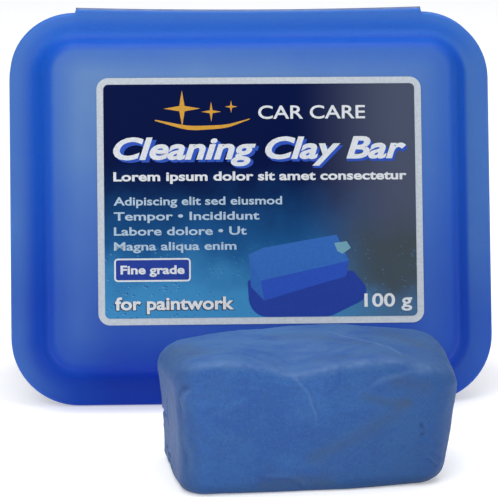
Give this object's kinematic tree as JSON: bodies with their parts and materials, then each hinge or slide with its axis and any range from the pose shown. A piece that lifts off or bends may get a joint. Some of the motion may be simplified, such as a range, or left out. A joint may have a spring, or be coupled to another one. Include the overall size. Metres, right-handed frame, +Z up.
{
  "type": "clay bar",
  "caption": "Bar of soft detailing clay standing in front of its hinged plastic storage case with a labelled lid.",
  "frame": {"origin": "centre of the whole set's footprint, on the surface that the bar and the half-open case stand on", "axes": "+Z up; +X to the right of someone facing the label, along the case's hinge; +Y away from them, from the bar towards the case's base"},
  "size_m": [0.1168, 0.1472, 0.0941],
  "materials": {
    "clay": "matte",
    "case_plastic": "satin",
    "label_vinyl": "satin",
    "label_print": "satin"
  },
  "bodies": {
    "case_lid": {"case_lid": "case_plastic", "label_vinyl": "label_vinyl", "label_print": "label_print"},
    "case_base": {"case_base": "case_plastic", "living_hinge": "case_plastic"},
    "clay_bar": {"clay_bar": "clay"}
  },
  "joints": [
    {"name": "case_hinge", "type": "hinge", "parent": "case_lid", "child": "case_base", "pos_m": [0, 0.03196, 0.09384], "axis": [1, 0, 0], "range_deg": [-28.7, 151.3]},
    {"name": "bar_lift", "type": "slide", "parent": "case_lid", "child": "clay_bar", "axis": [0, 0, 1], "range_m": [0, 0.06]}
  ]
}
